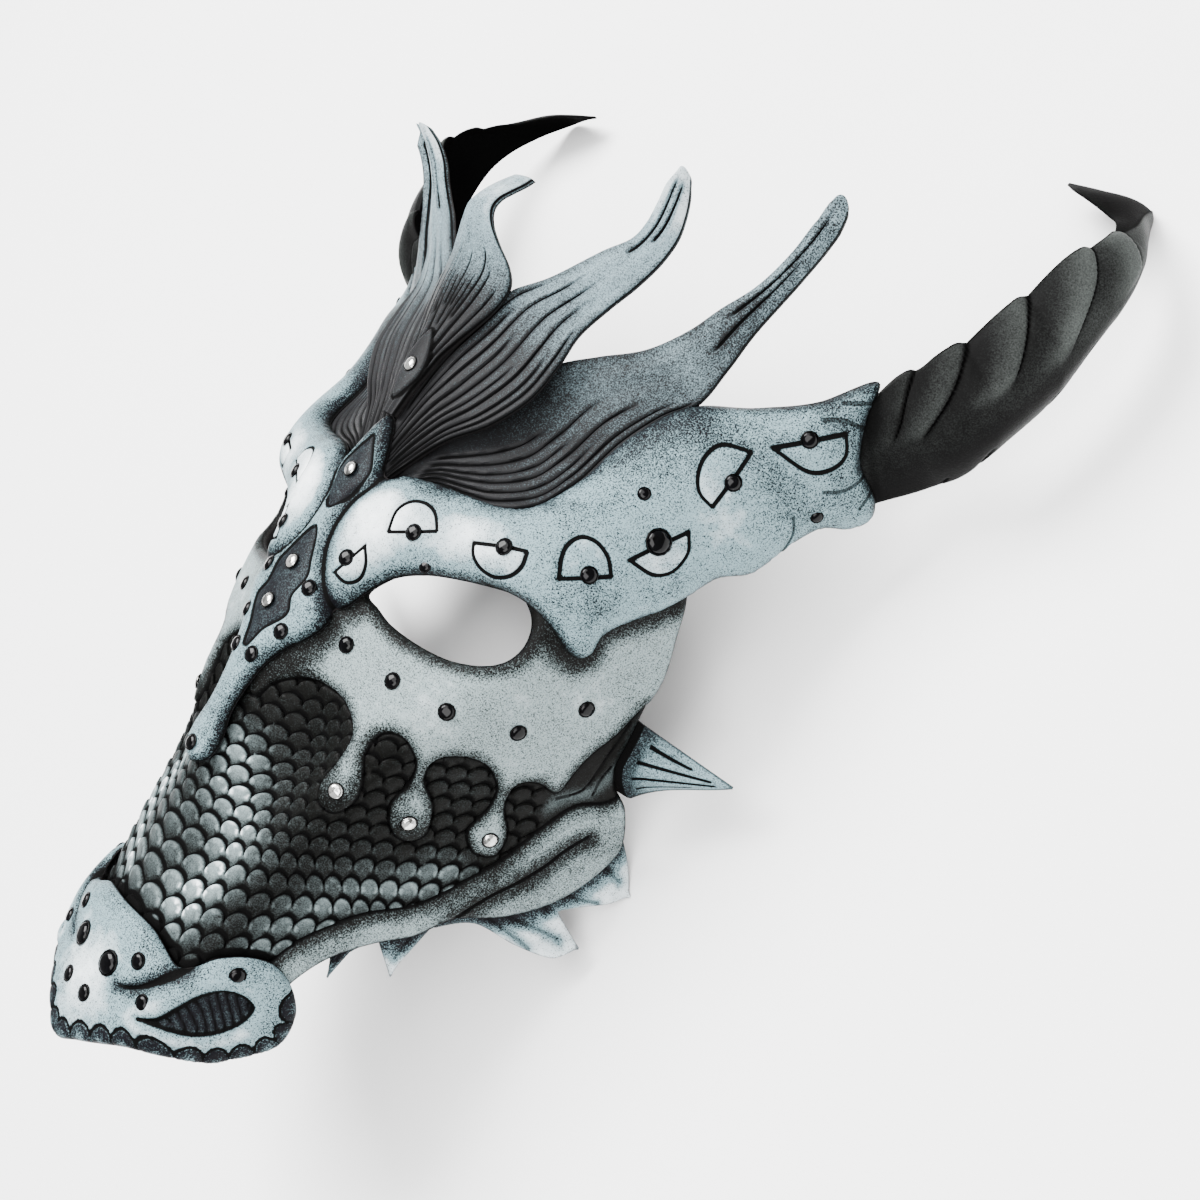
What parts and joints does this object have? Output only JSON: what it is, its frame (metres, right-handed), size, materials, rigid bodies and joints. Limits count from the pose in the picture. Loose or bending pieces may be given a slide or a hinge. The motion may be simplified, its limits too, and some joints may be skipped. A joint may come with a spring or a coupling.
{
  "type": "dragon mask",
  "caption": "Hand-moulded leather face mask shaped as a dragon head, with scaled snout, brow plate, curled crest, horns, jaw frill and set stones.",
  "frame": {"origin": "bottom centre of the bounding box, as the mask lies on its rim with its face up", "axes": "+X towards the wearer's left, +Y up the face from the nose to the horns, +Z out of the face"},
  "size_m": [0.3116, 0.3594, 0.114],
  "materials": {
    "scaled_leather": "tooled and rubbed with silver paint",
    "silver_leather": "sponged silver paint over black leather",
    "crest_leather": "satin, grooved, silver at the tips",
    "horn_leather": "satin",
    "black_stone": "cut and polished, opaque",
    "clear_stone": "cut and polished, with a mirrored back"
  },
  "bodies": {
    "root": {"face_shell": "scaled_leather", "brow_plate": "silver_leather", "nose_cap": "silver_leather", "crest_tongue": "crest_leather", "crest_inner_spike_left": "crest_leather", "crest_inner_spike_right": "crest_leather", "crest_outer_spike_left": "crest_leather", "crest_outer_spike_right": "crest_leather", "horn_left": "horn_leather", "horn_right": "horn_leather", "jaw_frill_left": "silver_leather", "jaw_frill_right": "silver_leather", "cheek_spike_left": "silver_leather", "cheek_spike_right": "silver_leather", "drop_stone_1_left": "clear_stone", "drop_stone_1_right": "clear_stone", "drop_stone_2_left": "clear_stone", "drop_stone_2_right": "clear_stone", "drop_stone_3_left": "clear_stone", "drop_stone_3_right": "clear_stone", "cheek_stone_1_left": "black_stone", "cheek_stone_1_right": "black_stone", "cheek_stone_2_left": "black_stone", "cheek_stone_2_right": "black_stone", "cheek_stone_3_left": "black_stone", "cheek_stone_3_right": "black_stone", "cheek_stone_4_left": "black_stone", "cheek_stone_4_right": "black_stone", "cheek_stone_5_left": "black_stone", "cheek_stone_5_right": "black_stone", "brow_stone_1_left": "black_stone", "brow_stone_1_right": "black_stone", "brow_stone_2_left": "black_stone", "brow_stone_2_right": "black_stone", "brow_stone_3_left": "black_stone", "brow_stone_3_right": "black_stone", "brow_stone_4_left": "black_stone", "brow_stone_4_right": "black_stone", "brow_stone_5_left": "black_stone", "brow_stone_5_right": "black_stone", "brow_stone_6_left": "black_stone", "brow_stone_6_right": "black_stone", "brow_stone_7_left": "black_stone", "brow_stone_7_right": "black_stone", "brow_stone_8_left": "black_stone", "brow_stone_8_right": "black_stone", "brow_stone_9_left": "black_stone", "brow_stone_9_right": "black_stone", "brow_stone_10_left": "black_stone", "brow_stone_10_right": "black_stone", "midline_stone_1": "clear_stone", "midline_stone_2": "clear_stone", "midline_stone_3": "clear_stone", "tab_stone": "black_stone", "nose_stone_1_left": "black_stone", "nose_stone_1_right": "black_stone", "nose_stone_2_left": "black_stone", "nose_stone_2_right": "black_stone", "nose_stone_3_left": "black_stone", "nose_stone_3_right": "black_stone"}
  },
  "joints": []
}
